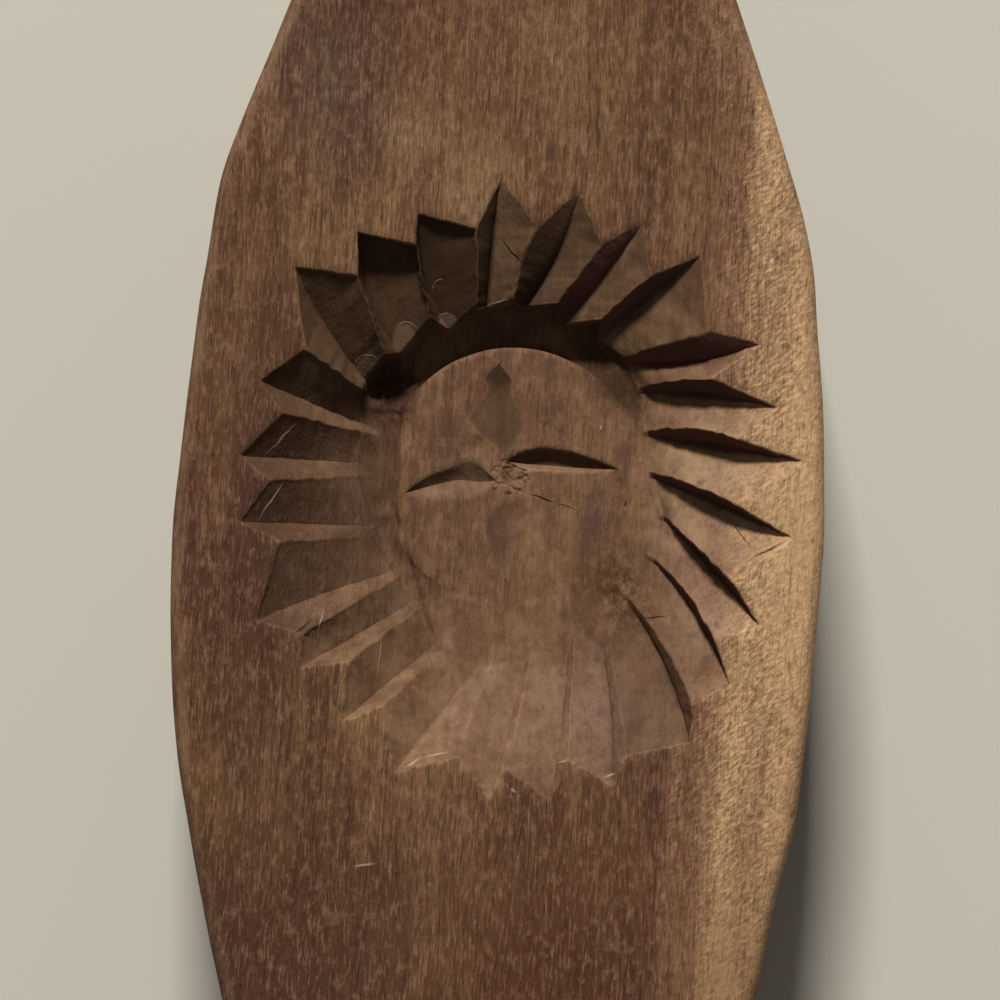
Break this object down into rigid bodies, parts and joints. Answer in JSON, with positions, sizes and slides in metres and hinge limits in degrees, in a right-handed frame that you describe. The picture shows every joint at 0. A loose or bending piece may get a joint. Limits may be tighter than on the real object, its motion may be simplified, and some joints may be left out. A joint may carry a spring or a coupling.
{
  "type": "maamoul mould",
  "caption": "Hand-carved wooden biscuit mould: a bowed paddle head with a swirled petal rosette hollow round a raised boss, tapering to a handle with a hanging hole.",
  "frame": {"origin": "on the flat back, on the board's centre line, level with the middle of the rosette", "axes": "+Z out of the carved face, +Y along the board towards the handle, +X to the right seen from the carved face"},
  "size_m": [0.076, 0.2551, 0.026],
  "materials": {
    "head_wood": "worn, oiled walnut-like heartwood with pale sapwood along one edge",
    "handle_wood": "worn, oiled walnut-like heartwood with pale sapwood along one edge"
  },
  "bodies": {
    "root": {"carved_head": "head_wood", "handle": "handle_wood"}
  },
  "joints": []
}
